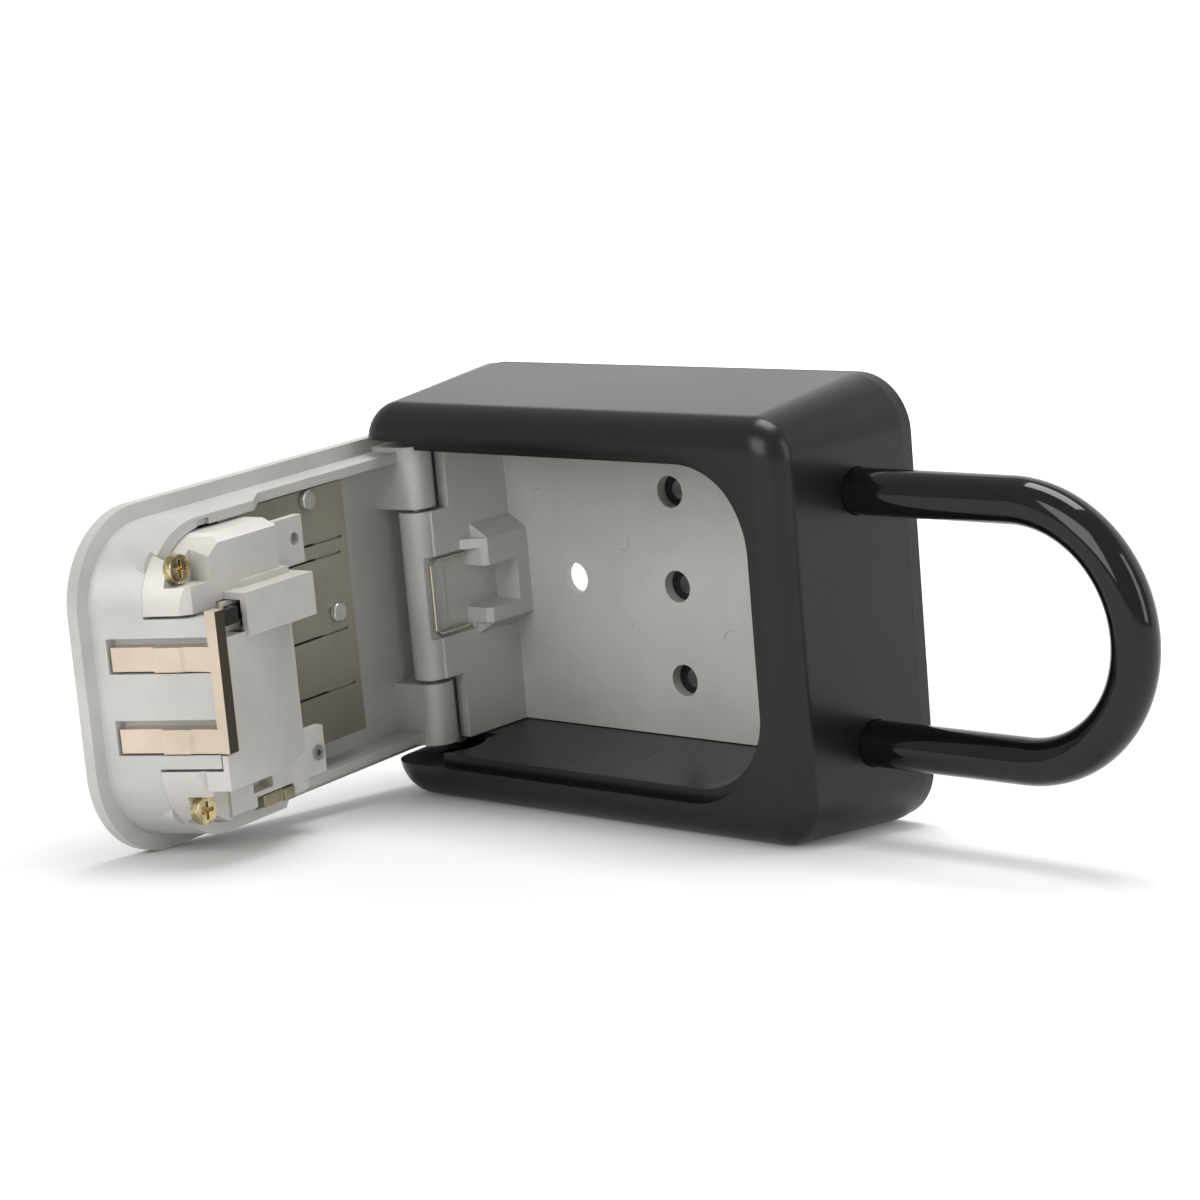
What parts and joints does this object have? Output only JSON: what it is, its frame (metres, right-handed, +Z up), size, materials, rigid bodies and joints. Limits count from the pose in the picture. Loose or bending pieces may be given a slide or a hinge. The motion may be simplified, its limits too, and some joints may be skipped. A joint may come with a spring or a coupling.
{
  "type": "key lock box",
  "caption": "Portable combination key safe with a removable U shackle and a hinged dial door, standing open on its side",
  "frame": {"origin": "middle of the flat rear face that lies against a wall", "axes": "+X along the body to the shackle end, +Z up as it stands on its long side with the door open, +Y to the rear; the body leans forward about X by 6.12 degrees, so its rear face looks along +Y and slightly up"},
  "size_m": [0.1793, 0.1301, 0.0896],
  "materials": {
    "shell_black": "satin black powder coat on zinc alloy",
    "plate_black": "satin black paint",
    "inner_grey": "grey zinc die casting",
    "door_grey": "grey zinc die casting",
    "cover_grey": "grey zinc die casting",
    "pin_steel": "bright steel",
    "spring_gold": "yellow-plated spring wire",
    "screw_black": "black oxide",
    "screw_yellow": "yellow zinc plate",
    "rivet_brass": "bright brass",
    "spring_nickel": "dark nickel plate",
    "peg_steel": "bright steel",
    "dial_ivory": "off-white plastic",
    "hub_brass": "plain brass",
    "latch_copper": "copper-coloured plate",
    "link_steel": "zinc-plated steel",
    "lever_black": "black plastic",
    "reset_olive": "olive chromate",
    "shackle_steel": "hardened steel",
    "sleeve_vinyl": "glossy black vinyl",
    "lock_steel": "zinc-plated steel",
    "button_red": "red plastic"
  },
  "bodies": {
    "housing": {"outer_shell": "shell_black", "rear_plate": "plate_black", "inner_casting": "inner_grey", "hinge_pin": "pin_steel", "hinge_spring": "spring_gold", "rear_screws": "screw_black", "lock_spring": "lock_steel"},
    "door": {"door_casting": "door_grey", "mechanism_cover": "cover_grey", "cover_screws": "screw_yellow", "cover_rivet": "rivet_brass", "spring_plate": "spring_nickel", "spring_pegs": "peg_steel", "dial_axle": "pin_steel", "latch_spring": "link_steel"},
    "latch": {"latch_bracket": "latch_copper", "latch_link": "link_steel"},
    "lever": {"open_lever": "lever_black"},
    "reset": {"reset_lever": "reset_olive"},
    "shackle": {"shackle_core": "shackle_steel", "shackle_sleeve": "sleeve_vinyl"},
    "lock_bar": {"shackle_lock": "lock_steel", "release_button": "button_red"},
    "dial_1": {"dial_1": "dial_ivory", "hub_1": "hub_brass"},
    "dial_2": {"dial_2": "dial_ivory", "hub_2": "hub_brass"},
    "dial_3": {"dial_3": "dial_ivory", "hub_3": "hub_brass"},
    "dial_4": {"dial_4": "dial_ivory", "hub_4": "hub_brass"}
  },
  "joints": [
    {"name": "door_hinge", "type": "hinge", "parent": "housing", "child": "door", "pos_m": [-0.04895, -0.02864, -0.00307], "axis": [0, 0.1066, -0.9943], "range_deg": [-83.8, 12]},
    {"name": "latch_slide", "type": "slide", "parent": "door", "child": "latch", "axis": [0.108, -0.9885, -0.106], "range_m": [0, 0.0034]},
    {"name": "lever_slide", "type": "slide", "parent": "door", "child": "lever", "axis": [0.108, -0.9885, -0.106], "range_m": [0, 0.0034]},
    {"name": "reset_slide", "type": "slide", "parent": "door", "child": "reset", "axis": [0.108, -0.9885, -0.106], "range_m": [0, 0.0018]},
    {"name": "shackle_slide", "type": "slide", "parent": "housing", "child": "shackle", "axis": [1, 0, 0], "range_m": [0, 0.014]},
    {"name": "lock_bar_slide", "type": "slide", "parent": "housing", "child": "lock_bar", "axis": [0, 0.1066, -0.9943], "range_m": [0, 0.0024]},
    {"name": "dial_1_spin", "type": "hinge", "parent": "door", "child": "dial_1", "pos_m": [-0.03969, -0.0987, -0.01058], "axis": [0, -0.1066, 0.9943], "continuous": true},
    {"name": "dial_2_spin", "type": "hinge", "parent": "door", "child": "dial_2", "pos_m": [-0.03969, -0.0987, -0.01058], "axis": [0, -0.1066, 0.9943], "continuous": true},
    {"name": "dial_3_spin", "type": "hinge", "parent": "door", "child": "dial_3", "pos_m": [-0.03969, -0.0987, -0.01058], "axis": [0, -0.1066, 0.9943], "continuous": true},
    {"name": "dial_4_spin", "type": "hinge", "parent": "door", "child": "dial_4", "pos_m": [-0.03969, -0.0987, -0.01058], "axis": [0, -0.1066, 0.9943], "continuous": true}
  ],
  "couplings": [
    {"joint": "lever_slide", "follows": "latch_slide", "ratio": 1}
  ]
}
